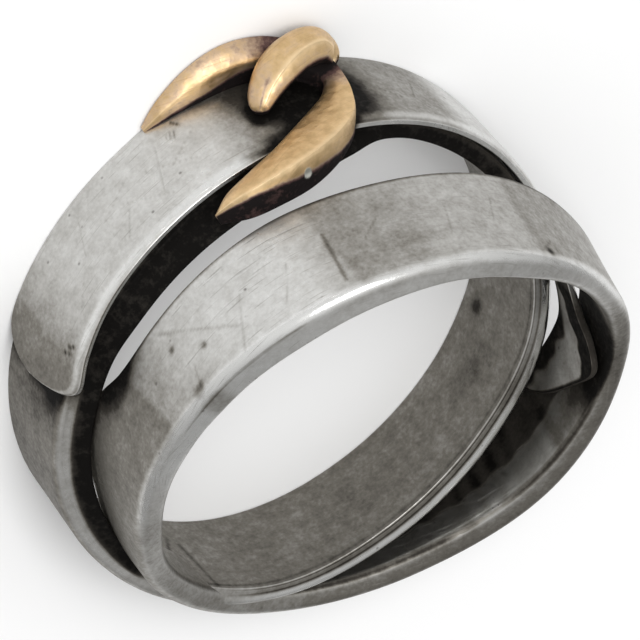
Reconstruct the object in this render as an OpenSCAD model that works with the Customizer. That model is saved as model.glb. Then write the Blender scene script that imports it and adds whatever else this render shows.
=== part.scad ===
// A worn finger ring of two crossing silver bands, with a silver strap over the rear band and a
// small gold crescent and loop on the strap. It lies on its side, as it rests by itself: the rear
// band's far edge is on the floor, at height 0, and its axis is Z. Angles turn about Z from +X.

/* [Finger] */
// Inside radius of the rear band at its far edge, in mm: 8.65 is US size 7
finger_r = 8.65; // [8:0.05:10]

/* [Bands] */
// Wall of the rear band
rear_t = 0.7; // [0.5:0.05:0.8]
// Wall of the front band
front_t = 1; // [0.8:0.05:1.1]
// Chamfer along the edges of the two bands
band_chamfer = 0.07; // [0.05:0.01:0.2]
// Flat steps in one turn of a band
band_steps = 96; // [48:12:120]

/* [Strap] */
// Wall of the strap
strap_t = 0.32; // [0.2:0.02:0.4]
// Chamfer along the edges of the strap
strap_chamfer = 0.08; // [0.02:0.01:0.1]
// Seam between the strap and the metal that it is soldered to
seam = 0.03; // [0.02:0.01:0.05]

/* [Gold] */
// How high the gold stands, as a share of the height in its tables
gold_height = 1; // [0.8:0.05:1.15]
// How wide the limbs of the gold are, as a share of the width in their tables
gold_width = 1; // [0.8:0.05:1.1]

/* [Hidden] */
// Columns of the tables of the three strips: angle, how far the inside stands out from its base
// radius and its height, first at the far edge and then at the near edge. The base radius of the
// bands is finger_r. The bands' rows go on with the wall as a share of its size, and with how much
// higher the near edge is at the inside than at the outside.
REAR_ROWS = [
  [0, -0.15, 0, -0.10, 3.95, 1.20, 0.00],
  [30, 0.00, 0, 0.00, 3.60, 1.00, 0.00],
  [60, 0.00, 0, 0.00, 3.30, 1.00, 0.00],
  [78, 0.06, 0, 0.00, 3.40, 1.00, 0.10],
  [90, 0.08, 0, -0.10, 3.50, 1.14, 0.70],
  [105, 0.17, 0, -0.15, 3.70, 1.20, 1.20],
  [120, -0.08, 0, -0.20, 3.80, 1.30, 1.10],
  [150, -0.25, 0, -0.20, 4.00, 1.35, 0.77],
  [165, -0.30, 0, -0.20, 3.95, 1.42, 0.52],
  [180, -0.45, 0, -0.27, 3.85, 1.64, 0.42],
  [210, -0.45, 0, -0.17, 3.60, 1.64, 0.36],
  [240, -0.22, 0, 0.03, 3.80, 1.37, 0.00],
  [270, -0.08, 0, 0.07, 4.00, 1.11, 0.00],
  [300, -0.20, 0, -0.17, 3.85, 1.30, 0.00],
  [330, -0.22, 0, -0.27, 3.85, 1.34, 0.00],
];
FRONT_ROWS = [
  [0, 1.45, 4.05, 1.36, 6.75, 0.90, 0],
  [30, 0.50, 6.00, 0.00, 9.00, 0.85, 0],
  [60, -0.05, 6.60, -0.70, 10.60, 1.00, 0],
  [90, -0.30, 6.80, -0.70, 11.20, 1.00, 0],
  [120, -0.80, 6.12, -0.90, 10.80, 1.20, 0],
  [150, -1.25, 5.60, -1.30, 9.55, 1.35, 0],
  [165, -1.36, 5.08, -1.38, 8.85, 1.27, 0],
  [180, -1.40, 3.90, -1.40, 8.10, 1.15, 0],
  [210, -1.35, 3.40, -1.25, 6.50, 1.05, 0],
  [240, -0.50, 2.60, -0.40, 4.70, 1.00, 0],
  [270, 0.60, 1.30, 0.65, 3.70, 1.00, 0],
  [300, 1.30, 1.10, 1.30, 4.15, 1.10, 0],
  [330, 1.70, 1.95, 1.70, 5.40, 1.20, 0],
];
// The base radius of the strap is the outside of the rear band and its seam.
STRAP_ROWS = [
  [-19, 0.44, 2.70, 0.44, 3.20],
  [-16, 0.42, 2.80, 0.42, 4.25],
  [-10, 0.36, 3.20, 0.36, 5.40],
  [-4, 0.30, 3.60, 0.30, 6.30],
  [1, 0.26, 3.85, 0.26, 5.90],
  [6, 0.13, 3.90, 0.13, 5.20],
  [12, 0.08, 3.50, 0.08, 4.65],
  [20, 0.06, 2.70, 0.06, 4.10],
  [32, 0.03, 1.50, 0.03, 3.65],
  [46, 0.02, 0.50, 0.02, 3.50],
  [60, 0.00, 0.06, 0.00, 3.55],
  [80, 0.08, 0.00, 0.00, 3.75],
  [92, 0.25, 0.00, 0.00, 3.85],
  [105, 0.36, 0.00, 0.03, 3.90],
  [116, 0.30, 0.00, 0.05, 4.00],
  [130, 0.08, 0.00, 0.08, 4.10],
  [152, 0.00, 0.00, 0.15, 4.25],
  [164, 0.00, 0.00, 0.20, 4.55],
  [171, 0.00, 0.05, 0.20, 4.80],
  [174.5, 0.02, 0.40, 0.18, 4.15],
  [176.5, 0.08, 1.10, 0.14, 3.10],
  [177.3, 0.10, 1.85, 0.12, 2.25],
];
// Columns of the crescent: angle, height, stand-off of its foot and of its ridge from the strap,
// width of the limb. It runs from the tip of the far horn round the belly to that of the near horn.
CRESCENT_ROWS = [
  [124.6, 0.16, 0.10, 0.32, 0.12],
  [119.5, 0.25, 0.20, 0.90, 0.40],
  [112, 0.34, 0.25, 1.50, 0.60],
  [105, 0.38, 0.25, 1.72, 0.68],
  [98, 0.48, 0.20, 1.52, 0.80],
  [92.5, 0.85, 0.10, 1.18, 0.90],
  [89.2, 1.45, 0.05, 0.98, 0.80],
  [88.5, 2.10, 0.03, 0.82, 0.72],
  [90.2, 2.90, -0.05, 0.78, 1.10],
  [94, 3.75, -0.25, 0.78, 1.70],
  [99.8, 4.42, -0.50, 0.72, 1.95],
  [106.5, 4.87, -0.70, 0.66, 1.85],
  [114, 5.10, -0.70, 0.58, 1.50],
  [120.5, 5.12, -0.65, 0.42, 1.00],
  [125.3, 5.22, -0.40, 0.15, 0.15],
];
// Columns of the loop: angle, height, stand-off of its centre, half width, half thickness.
LOOP_ROWS = [
  [105.4, 2.42, 0.42, 0.12, 0.10],
  [104.9, 2.33, 0.50, 0.36, 0.30],
  [103, 2.02, 0.80, 0.58, 0.48],
  [99, 1.60, 1.18, 0.76, 0.60],
  [94.3, 1.24, 1.36, 0.78, 0.64],
  [89.7, 1.02, 1.32, 0.76, 0.62],
  [86.6, 1.10, 1.02, 0.60, 0.50],
  [85.6, 1.28, 0.66, 0.28, 0.22],
];
STRAP_STEPS_PER_ROW = 4;
GOLD_STEPS_PER_ROW = 4;
LOOP_STEPS_PER_ROW = 5;
LOOP_SIDES = 14;
strap_base_r = finger_r + rear_t + seam;
gold_base_r = strap_base_r + strap_t;
silver = "#a9a8a4";
gold = "#c9a76b";

function polar(angle, r, z) = [r * cos(angle), r * sin(angle), z];

// Row i of a table. Past the end a closed table goes on a turn later and an open one repeats.
function row(rows, i, closed) =
  let (
    n = len(rows),
    turn = floor(i / n),
    r = closed ? rows[i - n * turn] : rows[max(0, min(n - 1, i))]
  )
  [for (k = [0:len(r) - 1]) r[k] + ((closed && k == 0) ? 360 * turn : 0)];

// The smooth curve through the rows of a table (Catmull-Rom), at row number u.
function between(rows, u, closed) =
  let (
    i = floor(u),
    f = u - i,
    a = row(rows, i - 1, closed),
    b = row(rows, i, closed),
    c = row(rows, i + 1, closed),
    d = row(rows, i + 2, closed)
  )
  b + f / 2 * ((c - a) + f * ((2 * a - 5 * b + 4 * c - d) + f * (3 * (b - c) + d - a)));

// Eight corners of a flat strip's section: a rectangle with its corners chamfered. It is grown by a
// clearance where the strip is cut from another piece.
function strip_section(r, base_r, wall, chamfer, grow) =
  let (
    share = len(r) > 5 ? r[5] : 1,
    lift = len(r) > 5 ? r[6] : 0,
    t = wall * share + 2 * grow,
    width = max(0.1, r[4] - r[2]) + 2 * grow,
    ct = min(0.4, chamfer / t),
    cw = min(0.4, chamfer / width),
    corners = [
      [0, cw], [ct, 0], [1 - ct, 0], [1, cw],
      [1, 1 - cw], [1 - ct, 1], [ct, 1], [0, 1 - cw],
    ]
  )
  [for (c = corners)
    polar(
      r[0],
      base_r - grow + r[1] + c[1] * (r[3] - r[1]) + c[0] * t,
      r[2] - grow + c[1] * (width + (1 - c[0]) * lift)
    )];

// Unit vector across a limb that runs over the ring: square to its path and to the radius.
function across(rows, u, col, r) =
  let (
    a = between(rows, u - 0.2, false),
    b = between(rows, u + 0.2, false),
    path = polar(b[0], r + b[col], b[1]) - polar(a[0], r + a[col], a[1]),
    side = cross(path, polar(between(rows, u, false)[0], 1, 0))
  )
  side / norm(side);

// A crescent's section: flat foot, upright flanks, and a top that slopes up to a ridge at its outer
// flank.
function ridge_section(rows, u) =
  let (
    r = between(rows, u, false),
    foot = gold_base_r + r[2],
    rise = (r[3] - r[2]) * gold_height,
    half = r[4] / 2 * gold_width,
    side = across(rows, u, 3, gold_base_r),
    outline = [
      [-0.86, 0], [0.82, 0], [1, 0.2], [0.98, 0.48],
      [0.84, 0.68], [0.1, 0.88], [-0.76, 1], [-0.92, 0.96], [-1, 0.66], [-1, 0.25],
    ]
  )
  [for (p = outline) polar(r[0], foot + p[1] * rise, r[1]) + p[0] * half * side];

// A loop's section: an oval, grown by a clearance where the loop is cut from another piece.
function oval_section(rows, u, grow) =
  let (
    r = between(rows, u, false),
    centre = polar(r[0], gold_base_r + r[2] * gold_height, r[1]),
    up = polar(r[0], 1, 0),
    side = across(rows, u, 2, gold_base_r)
  )
  [for (k = [0:LOOP_SIDES - 1])
    let (turn = 360 * k / LOOP_SIDES)
    centre + cos(turn) * (r[3] * gold_width + grow) * side + sin(turn) * (r[4] + grow) * up];

// A sweep: the hull of each two neighbouring sections.
module sweep(sections) {
  for (i = [0:len(sections) - 2])
    hull() polyhedron(
      concat(sections[i], sections[i + 1]),
      [[for (k = [0:2 * len(sections[i]) - 1]) k]]
    );
}

// One hoop, whose sections start a share of a step further round.
module closed_band(rows, wall, share, grow) {
  n = len(rows);
  sweep([
    for (k = [0:band_steps])
      strip_section(
        between(rows, (k + share) * n / band_steps, true), finger_r, wall, band_chamfer, grow
      )
  ]);
}

// The two silver hoops cross at the foot, where they are soldered into one. Their sections lie at
// different angles, so that no two edges of the hoops fall together there.
module bands() color(silver) union() {
  closed_band(REAR_ROWS, rear_t, 0, 0);
  closed_band(FRONT_ROWS, front_t, 0.43, 0);
}

// The strip that lies over the rear band, with its right end under the front band.
module strap_body(grow) {
  steps = STRAP_STEPS_PER_ROW;
  sweep([
    for (k = [0:(len(STRAP_ROWS) - 1) * steps])
      strip_section(
        between(STRAP_ROWS, k / steps, false), strap_base_r, strap_t, strap_chamfer, grow
      )
  ]);
}

module strap() color(silver) strap_body(0);

module loop_body(grow) {
  steps = LOOP_STEPS_PER_ROW;
  sweep([for (k = [0:(len(LOOP_ROWS) - 1) * steps]) oval_section(LOOP_ROWS, k / steps, grow)]);
}

module loop() color(gold) loop_body(0);

// The crescent. The loop's place is cut out of its far limb. The near limb hangs over the strap's
// near edge, onto the rear band's inner edge, and its foot is cut to both.
module crescent() color(gold) difference() {
  steps = GOLD_STEPS_PER_ROW;
  sweep([
    for (k = [0:(len(CRESCENT_ROWS) - 1) * steps]) ridge_section(CRESCENT_ROWS, k / steps)
  ]);
  loop_body(seam);
  strap_body(seam);
  closed_band(REAR_ROWS, rear_t, 0, seam);
}

bands();
strap();
crescent();
loop();
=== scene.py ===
# %% [markdown]
# # A worn silver ring with a gold crescent and loop
#
# The packed model gives the frame: where each piece is and how big it is. This lesson dresses it.
# The silver strips are rounded bars that are bent round a finger, so each one is a profile carried
# along a path. The gold is a small carved form, so it is a profile that changes from end to end.
# Everything is computed as whole numpy arrays, in millimetres, and turned to metres at the end.

import math

import bpy
import numpy as np
from mathutils import Matrix, Vector


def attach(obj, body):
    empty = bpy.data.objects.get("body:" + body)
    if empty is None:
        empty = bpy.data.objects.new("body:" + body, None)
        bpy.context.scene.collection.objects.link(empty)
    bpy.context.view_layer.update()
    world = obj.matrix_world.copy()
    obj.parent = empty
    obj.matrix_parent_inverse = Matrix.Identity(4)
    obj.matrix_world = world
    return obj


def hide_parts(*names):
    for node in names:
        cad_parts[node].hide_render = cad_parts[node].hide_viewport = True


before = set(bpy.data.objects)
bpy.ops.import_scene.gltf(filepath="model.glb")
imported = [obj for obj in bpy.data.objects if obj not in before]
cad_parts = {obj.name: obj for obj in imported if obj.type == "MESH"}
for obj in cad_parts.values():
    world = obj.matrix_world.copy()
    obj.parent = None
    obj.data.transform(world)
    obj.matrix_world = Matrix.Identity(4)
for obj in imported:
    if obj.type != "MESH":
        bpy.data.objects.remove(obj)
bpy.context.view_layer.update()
MM = 0.001
print("nodes:", sorted(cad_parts))

# %% [markdown]
# ## Sizes
#
# The part's own source works from short tables: one row for each station round the ring. The same
# tables are repeated here, so that the worn metal lies exactly where the solids are.

# %% The tables of the strips
# In mm: the radius of the finger hole, the walls of the three strips, the seam under the strap that
# stands for solder, and the radii on which the strap and the gold stand.
FINGER_R = 8.65
REAR_T = 0.7
FRONT_T = 1.0
STRAP_T = 0.32
SEAM = 0.03
STRAP_R = FINGER_R + REAR_T + SEAM
GOLD_R = STRAP_R + STRAP_T

# Columns: angle, stand-off and height of the inside at the far edge, the same at the near edge,
# wall as a share of its size, and how much higher the near edge is at the inside.
REAR_ROWS = np.array([
    [0, -0.15, 0, -0.10, 3.95, 1.20, 0.00],
    [30, 0.00, 0, 0.00, 3.60, 1.00, 0.00],
    [60, 0.00, 0, 0.00, 3.30, 1.00, 0.00],
    [78, 0.06, 0, 0.00, 3.40, 1.00, 0.10],
    [90, 0.08, 0, -0.10, 3.50, 1.14, 0.70],
    [105, 0.17, 0, -0.15, 3.70, 1.20, 1.20],
    [120, -0.08, 0, -0.20, 3.80, 1.30, 1.10],
    [150, -0.25, 0, -0.20, 4.00, 1.35, 0.77],
    [165, -0.30, 0, -0.20, 3.95, 1.42, 0.52],
    [180, -0.45, 0, -0.27, 3.85, 1.64, 0.42],
    [210, -0.45, 0, -0.17, 3.60, 1.64, 0.36],
    [240, -0.22, 0, 0.03, 3.80, 1.37, 0.00],
    [270, -0.08, 0, 0.07, 4.00, 1.11, 0.00],
    [300, -0.20, 0, -0.17, 3.85, 1.30, 0.00],
    [330, -0.22, 0, -0.27, 3.85, 1.34, 0.00],
])
FRONT_ROWS = np.array([
    [0, 1.45, 4.05, 1.36, 6.75, 0.90, 0],
    [30, 0.50, 6.00, 0.00, 9.00, 0.85, 0],
    [60, -0.05, 6.60, -0.70, 10.60, 1.00, 0],
    [90, -0.30, 6.80, -0.70, 11.20, 1.00, 0],
    [120, -0.80, 6.12, -0.90, 10.80, 1.20, 0],
    [150, -1.25, 5.60, -1.30, 9.55, 1.35, 0],
    [165, -1.36, 5.08, -1.38, 8.85, 1.27, 0],
    [180, -1.40, 3.90, -1.40, 8.10, 1.15, 0],
    [210, -1.35, 3.40, -1.25, 6.50, 1.05, 0],
    [240, -0.50, 2.60, -0.40, 4.70, 1.00, 0],
    [270, 0.60, 1.30, 0.65, 3.70, 1.00, 0],
    [300, 1.30, 1.10, 1.30, 4.15, 1.10, 0],
    [330, 1.70, 1.95, 1.70, 5.40, 1.20, 0],
])
STRAP_ROWS = np.array([
    [-19, 0.44, 2.70, 0.44, 3.20, 1, 0],
    [-16, 0.42, 2.80, 0.42, 4.25, 1, 0],
    [-10, 0.36, 3.20, 0.36, 5.40, 1, 0],
    [-4, 0.30, 3.60, 0.30, 6.30, 1, 0],
    [1, 0.26, 3.85, 0.26, 5.90, 1, 0],
    [6, 0.13, 3.90, 0.13, 5.20, 1, 0],
    [12, 0.08, 3.50, 0.08, 4.65, 1, 0],
    [20, 0.06, 2.70, 0.06, 4.10, 1, 0],
    [32, 0.03, 1.50, 0.03, 3.65, 1, 0],
    [46, 0.02, 0.50, 0.02, 3.50, 1, 0],
    [60, 0.00, 0.06, 0.00, 3.55, 1, 0],
    [80, 0.08, 0.00, 0.00, 3.75, 1, 0],
    [92, 0.25, 0.00, 0.00, 3.85, 1, 0],
    [105, 0.36, 0.00, 0.03, 3.90, 1, 0],
    [116, 0.30, 0.00, 0.05, 4.00, 1, 0],
    [130, 0.08, 0.00, 0.08, 4.10, 1, 0],
    [152, 0.00, 0.00, 0.15, 4.25, 1, 0],
    [164, 0.00, 0.00, 0.20, 4.55, 1, 0],
    [171, 0.00, 0.05, 0.20, 4.80, 1, 0],
    [174.5, 0.02, 0.40, 0.18, 4.15, 1, 0],
    [176.5, 0.08, 1.10, 0.14, 3.10, 1, 0],
    [177.3, 0.10, 1.85, 0.12, 2.25, 1, 0],
])
# The names of the columns.
ANGLE, OUT_FAR, Z_FAR, OUT_NEAR, Z_NEAR, SHARE, LIFT = range(7)


def column(rows, number):
    """One column of a table, kept upright so that it goes with a grid of points."""
    return rows[:, number:number + 1]


print("rows:", len(REAR_ROWS), "rear,", len(FRONT_ROWS), "front,", len(STRAP_ROWS), "strap")

# %% [markdown]
# ## A curve through the rows
#
# A bent strip has no corners between its stations. A cubic curve that passes through every row, and
# takes its slope there from the rows on both sides, is easy to work out for a whole array at once.

# %% The curve through a table
# Samples of the curve for each station that is kept.
FINE_STEPS = 20


def through(rows, u, closed):
    """A cubic between rows b and c, with a before, d after and f the share of the way:
    the value is b + f/2 * ((c - a) + f * ((2a - 5b + 4c - d) + f * (3(b - c) + d - a)))."""
    n = len(rows)
    start = np.floor(u).astype(int)
    f = (u - start)[:, None]

    def row(k):
        if not closed:
            return rows[np.clip(k, 0, n - 1)]
        turn = np.floor_divide(k, n)
        found = rows[k - n * turn].copy()
        found[:, ANGLE] += 360 * turn
        return found

    a, b, c, d = (row(start + k) for k in (-1, 0, 1, 2))
    return b + f / 2 * ((c - a) + f * ((2 * a - 5 * b + 4 * c - d) + f * (3 * (b - c) + d - a)))


def even_stations(rows, count, closed):
    """Rows at even steps of angle: the curve is sampled finely, and then read at equal angles."""
    last = len(rows) if closed else len(rows) - 1
    places = np.linspace(0, last, FINE_STEPS * count + 1)
    fine = through(rows, places[:-1] if closed else places, closed)
    first = fine[0, ANGLE]
    end = first + 360 if closed else fine[-1, ANGLE]
    angles = np.linspace(first, end, count, endpoint=not closed)
    return np.stack([np.interp(angles, fine[:, ANGLE], values) for values in fine.T], 1)


sample = even_stations(REAR_ROWS, 8, True)
print("rear band's wall at 8 places, mm:", np.round(REAR_T * sample[:, SHARE], 2))

# %% [markdown]
# ## The profile of a worn strip
#
# A strip is a rectangle in section whose corners have been rounded by years of wear. Each point of
# the profile is a mix of the four corner centres plus a radius along a fixed direction, so one small
# template serves every station of every strip.

# %% The profile template
# Points on each rounded corner and on each face, and which side of the middle each corner is on.
ARC_POINTS = 9
FACE_POINTS = {"far": 7, "outside": 34, "near": 12, "inside": 34}
CORNER_SIGNS = np.array([[-1, -1], [1, -1], [1, 1], [-1, 1]])


def strip_template():
    """Goes round from the far inside corner. Each corner gives an arc of a quarter turn, and each
    face a row of points whose corner weights slide evenly from one corner to the next.
    Returns the weights of the four corners and the unit direction at each point."""
    weights, turns = [], []
    for corner, count in enumerate(FACE_POINTS.values()):
        arc = np.linspace(180 + 90 * corner, 270 + 90 * corner, ARC_POINTS)
        share = np.linspace(0, 1, count + 2)[1:-1]
        here, after = np.eye(4)[corner], np.eye(4)[(corner + 1) % 4]
        weights += [np.tile(here, (ARC_POINTS, 1)), np.outer(1 - share, here) + np.outer(share, after)]
        turns += [arc, np.full(count, arc[-1])]
    turn = np.radians(np.concatenate(turns))
    return np.concatenate(weights), np.stack([np.cos(turn), np.sin(turn)], 1)


WEIGHTS, DIRECTIONS = strip_template()
print("points round a strip's profile:", len(WEIGHTS))

# %% The surface of a strip
# A corner's rounding is at most this share of the wall or the width, and a width at least this.
MOST_ROUNDING = 0.48
LEAST_WIDTH = 0.1


def strip_surface(stations, base_r, wall, rounding):
    """A station's section has four corners in the plane of radius and height. The surface point is
    the weighted mix of the corner centres, each drawn in by its rounding, plus the rounding times
    the point's direction. Returns points in mm, with the angle, radius and height of each."""
    angle, out_far, z_far, out_near, z_near, share, lift = stations.T
    t = wall * share
    far_r, near_r = base_r + out_far, base_r + out_near
    corner_r = np.stack([far_r, far_r + t, near_r + t, near_r], 1)
    corner_z = np.stack([z_far, z_far, z_near, z_near + lift], 1)
    width = np.maximum(z_near - z_far, LEAST_WIDTH)
    radius = np.minimum(rounding, MOST_ROUNDING * np.minimum(t, width)[:, None])
    centre_r = corner_r - CORNER_SIGNS[:, 0] * radius
    centre_z = corner_z - CORNER_SIGNS[:, 1] * radius
    grow = radius @ WEIGHTS.T
    r = centre_r @ WEIGHTS.T + grow * DIRECTIONS[:, 0]
    z = centre_z @ WEIGHTS.T + grow * DIRECTIONS[:, 1]
    return np.repeat(angle[:, None], r.shape[1], 1), r, z

# %% [markdown]
# ## From a grid of points to a mesh
#
# The grid wraps round the profile, and for a closed hoop round the path too. A UV map in true
# millimetres goes with it, so that scratches keep their size, and so do the painted values that the
# materials read: how black the metal is, how polished, and how scarred.


# %% From the grid to faces
def quads_of(ids, closed):
    """Each quad joins a point to the next one along the path and the next one round the profile."""
    ahead = np.roll(ids, -1, 0) if closed else ids[1:]
    here = ids if closed else ids[:-1]
    return np.stack([here, ahead, np.roll(ahead, -1, 1), np.roll(here, -1, 1)], -1).reshape(-1, 4)


def mesh_of(name, grid, closed):
    """A smooth mesh of the grid. The two ends of an open strip are closed by one face each."""
    n_u, n_v = grid.shape[:2]
    ids = np.arange(n_u * n_v).reshape(n_u, n_v)
    quads = quads_of(ids, closed)
    loops, sizes = quads.ravel(), np.full(len(quads), 4)
    if not closed:
        loops = np.concatenate([loops, ids[0], ids[-1][::-1]])
        sizes = np.concatenate([sizes, [n_v, n_v]])
    mesh = bpy.data.meshes.new(name)
    mesh.vertices.add(n_u * n_v)
    mesh.vertices.foreach_set("co", (grid.reshape(-1, 3) * MM).ravel().astype(np.float32))
    mesh.loops.add(len(loops))
    mesh.loops.foreach_set("vertex_index", loops.astype(np.int32))
    mesh.polygons.add(len(sizes))
    mesh.polygons.foreach_set("loop_start", (np.cumsum(sizes) - sizes).astype(np.int32))
    mesh.polygons.foreach_set("use_smooth", np.ones(len(sizes), bool))
    mesh.update(calc_edges=True)
    mesh.validate()
    print(name, "quads:", len(quads), "triangles:", 2 * len(quads))
    return mesh


print("quads of a closed 4 by 3 grid:", len(quads_of(np.arange(12).reshape(4, 3), True)))


# %% A map in millimetres
def map_in_mm(mesh, grid, closed):
    """U is the way along the path, as a mean over the profile, and V is the way round the profile.
    Both are running sums of the distances from point to point."""
    n_u, n_v = grid.shape[:2]
    wrap_u = np.concatenate([grid, grid[:1]], 0) if closed else grid
    along = np.linalg.norm(np.diff(wrap_u, axis=0), axis=-1).mean(1)
    along = np.concatenate([[0], np.cumsum(along)])
    wrap_v = np.concatenate([grid, grid[:, :1]], 1)
    around = np.linalg.norm(np.diff(wrap_v, axis=1), axis=-1)
    around = np.concatenate([np.zeros((n_u, 1)), np.cumsum(around, 1)], 1)
    around = np.concatenate([around, around[:1]], 0) if closed else around
    i, j = np.meshgrid(np.arange(len(along) - 1), np.arange(n_v), indexing="ij")
    corners = [(0, 0), (1, 0), (1, 1), (0, 1)]
    uv = np.stack([np.stack([along[i + a] + 0 * j, around[i + a, j + b]], -1) for a, b in corners], 2)
    uv = uv.reshape(-1, 2)
    if not closed:
        uv = np.concatenate([uv, np.zeros((2 * n_v, 2))])
    mesh.uv_layers.new(name="mm").data.foreach_set("uv", uv.ravel().astype(np.float32))
    print("  along and round, mm:", np.round(uv.max(0), 1))


# %% Faces that point outwards
def turn_out(mesh):
    """The signed volume is a sixth of the sum, over all triangles, of the triple product of their
    corners. Where it is below 0 the faces point inwards, and all of them are flipped."""
    mesh.calc_loop_triangles()
    co = np.empty(3 * len(mesh.vertices), np.float32)
    mesh.vertices.foreach_get("co", co)
    tri = np.empty(3 * len(mesh.loop_triangles), np.int32)
    mesh.loop_triangles.foreach_get("vertices", tri)
    a, b, c = np.moveaxis(co.reshape(-1, 3)[tri.reshape(-1, 3)].astype(float), 1, 0)
    volume = np.einsum("ij,ij->i", a, np.cross(b, c)).sum() / 6
    if volume < 0:
        mesh.flip_normals()
    print("  volume mm3:", round(abs(volume) * 1e9, 1))

# %% The mesh maker
# The first value is tarnish together with painted shade, the second rubbed metal together with painted
# highlights and glints, and the third scratches and solder.
PAINTED = ("oxide", "polish", "scar")


def skin(name, grid, closed, painted):
    """A piece from its grid, with its map and its painted values. Whatever isn't painted is 0."""
    mesh = mesh_of(name, grid, closed)
    map_in_mm(mesh, grid, closed)
    for key in PAINTED:
        attribute = mesh.attributes.new(key, "FLOAT", "POINT")
        values = np.broadcast_to(np.clip(painted.get(key, 0.0), 0, 1), grid.shape[:2])
        attribute.data.foreach_set("value", values.ravel().astype(np.float32))
    piece = bpy.data.objects.new(name, mesh)
    bpy.context.scene.collection.objects.link(piece)
    turn_out(mesh)
    return piece


print("painted on each point:", ", ".join(PAINTED))

# %% [markdown]
# ## Painting by place
#
# Silver goes black where nothing rubs it, and it stays bright along the edges. In the gaps, round the
# gold and under the strap the black is partly painted shade, each face is painted lighter where the
# light falls on it and darker away from it, and some edges and glints are painted highlights. All of
# it is painted on the points, from soft windows in angle and height and from short tables of spots.


# %% Windows
def step(x, edge, soft):
    """0 below the edge and 1 above it, with a smooth rise of width 2 * soft between them."""
    t = np.clip((x - edge) / (2 * soft) + 0.5, 0, 1)
    return t * t * (3 - 2 * t)


def window(x, low, high, soft):
    """1 between low and high, and 0 outside, each with a smooth edge."""
    return step(x, low, soft) * (1 - step(x, high, soft))


def patch(x, row):
    """A window times its strength. The row's columns are from, to, softness and strength."""
    low, high, soft, strength = row
    return strength * window(x, low, high, soft)


print("a patch of strength 0.5, in its middle:", patch(2.0, [1, 3, 0.2, 0.5]))


# %% Spots and lines
def spots(angle, z, r, rows):
    """Sum of bell-shaped spots. Columns: angle, height, half length round the ring, half height,
    strength. A spot is strength * exp(-(d1^2 + d2^2)), with both distances in half sizes."""
    total = np.zeros_like(z)
    for angle0, z0, half_round, half_up, strength in rows:
        away = (angle - angle0 + 180) % 360 - 180
        d1 = np.radians(away) * r / half_round
        d2 = (z - z0) / half_up
        total += strength * np.exp(-(d1 * d1 + d2 * d2))
    return total


def marks(angle, z, r, rows):
    """Lines scratched in a face. Columns: angle and height at both ends, half width in mm, depth.
    A mark's depth falls off with the distance to the segment between its ends."""
    total = np.zeros_like(z)
    for angle0, z0, angle1, z1, half_width, depth in rows:
        x = np.radians((angle - angle0 + 180) % 360 - 180) * r
        y = z - z0
        dx = math.radians(angle1 - angle0) * FINGER_R
        dy = z1 - z0
        share = np.clip((x * dx + y * dy) / (dx * dx + dy * dy), 0, 1)
        away = np.hypot(x - share * dx, y - share * dy)
        total = np.maximum(total, depth * np.exp(-((away / half_width) ** 2)))
    return total


at_middle = spots(np.array([[90.0]]), np.array([[2.0]]), FINGER_R, [[90, 2, 1, 1, 0.7]])
print("a spot of strength 0.7, in its middle:", at_middle.item())

# %% The unevenness of the metal
# How many sines it is the mean of.
WAVES = 6


def waver(angle, z, seed):
    """Slow unevenness of hand-made metal, from -1 to 1: the mean of a few sines of
    turns * angle + rise * z + phase, each with its own turns, rise and phase from the seed."""
    rng = np.random.default_rng(seed)
    total = np.zeros_like(z)
    for _ in range(WAVES):
        turns = rng.integers(3, 19)
        rise = rng.uniform(0.3, 1.6)
        phase = rng.uniform(0, 2 * math.pi)
        total += np.sin(np.radians(angle) * turns + rise * z + phase) / WAVES
    return total


def place(angle, r, z):
    """Cylinder coordinates to points: x = r cos(angle), y = r sin(angle)."""
    a = np.radians(angle)
    return np.stack([r * np.cos(a), r * np.sin(a), z], -1)


print("at 90 degrees and a radius of 2:", place(90.0, 2.0, 0.0).round(3))

# %% Which face a point is on
# How much each point of the profile faces outwards, inwards or to the near side, from 0 to 1.
IN_FACE = {
    "outside": np.clip(DIRECTIONS[:, 0], 0, 1),
    "inside": np.clip(-DIRECTIONS[:, 0], 0, 1),
    "near": np.clip(DIRECTIONS[:, 1], 0, 1),
}
# 0 on the flat faces and 2 in the middle of each rounded corner.
AT_CORNER = 4 * np.abs(DIRECTIONS[:, 0] * DIRECTIONS[:, 1])
print("corner points:", int((AT_CORNER > 0.5).sum()))


# %% How dark each face is round the ring
def round_ring(angle, rows):
    """Straight lines between rows of angle and value, going on from the last row to the first."""
    rows = np.array(rows, float)
    return np.interp(angle % 360, rows[:, 0], rows[:, 1], period=360)


def worn_in(angle, z, depth, seed):
    """How far the metal has worn in, from 0 to twice the depth: it never stands proud of the solid."""
    return depth * (1 + waver(angle, z, seed)) * (IN_FACE["inside"] - IN_FACE["outside"])


print("halfway between tarnish 0 at 350 and 1 at 10 degrees:", round_ring(0, [[10, 1], [350, 0]]))

# %% [markdown]
# ## The rear band
#
# The flat round hoop. A curve with a bevel would bend it quickly, but a bevel keeps one section all
# the way, and this strip was filed by hand: its wall, height and edges change as it goes round. So
# its section is carried through a table instead.
#
# Its near edge is black from the gold round to the left, where the front band leans over it: painted
# shade over tarnish. At the right, where it is seen from inside, it is worn bright, with a painted
# highlight along it. A tarnish of 0 is bare silver, 0.5 is a warm grey skin, and 1 is black.

# %% The rear band's form
# Stations round each hoop, which keep a hoop under 200,000 triangles.
HOOP_STATIONS = 800
# Rounding of the corners in mm: far inside, far outside, near outside, near inside.
REAR_ROUNDING = np.array([0.10, 0.06, 0.30, 0.06])
# How far its faces wander, in mm.
REAR_WANDER = 0.008
print("least room for a corner, mm:", round(REAR_T * REAR_ROWS[:, SHARE].min() / 2, 2))
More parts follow.
